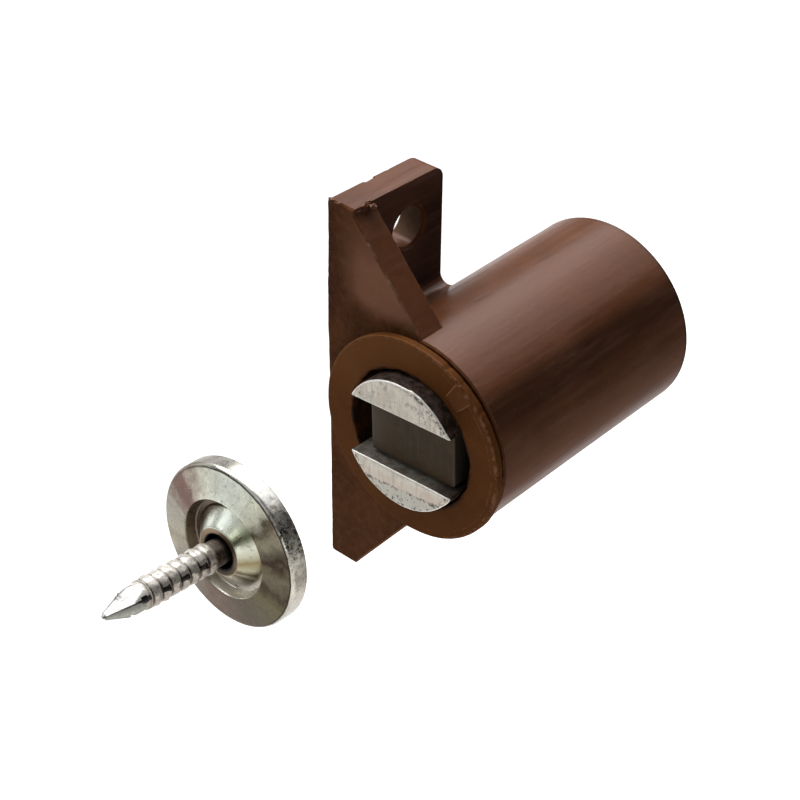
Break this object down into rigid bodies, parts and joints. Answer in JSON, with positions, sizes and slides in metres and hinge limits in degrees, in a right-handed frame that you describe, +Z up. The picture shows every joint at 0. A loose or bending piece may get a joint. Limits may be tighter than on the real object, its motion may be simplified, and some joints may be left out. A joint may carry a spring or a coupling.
{
  "type": "magnetic catch",
  "caption": "Magnetic cabinet catch: moulded housing with a screw plate and round barrel, magnet between steel pole plates, and a round steel strike on a ring-shank nail.",
  "frame": {"origin": "midway between the two screw holes, on the mounting face that lies against the cabinet side", "axes": "+X from the mounting face towards the barrel, +Y into the cabinet along the barrel (the strike and the door lie towards -Y), +Z up along the mounting plate"},
  "size_m": [0.0174, 0.0526, 0.0322],
  "materials": {
    "housing": "brown moulded plastic, satin",
    "carrier": "brown moulded plastic, satin, scuffed at the rim",
    "pole_steel": "sheared steel, dull bright",
    "magnet": "sintered ferrite, dark grey",
    "strike_steel": "zinc-plated pressed steel",
    "nail_steel": "bright ring-shank nail"
  },
  "bodies": {
    "catch": {"housing": "housing", "carrier": "carrier", "pole_upper": "pole_steel", "pole_lower": "pole_steel", "magnet": "magnet"},
    "strike": {"strike_plate": "strike_steel", "strike_nail": "nail_steel"}
  },
  "joints": [
    {"name": "strike_approach", "type": "slide", "parent": "catch", "child": "strike", "axis": [0.0366, 0.9988, -0.0327], "range_m": [0, 0.01528]}
  ]
}
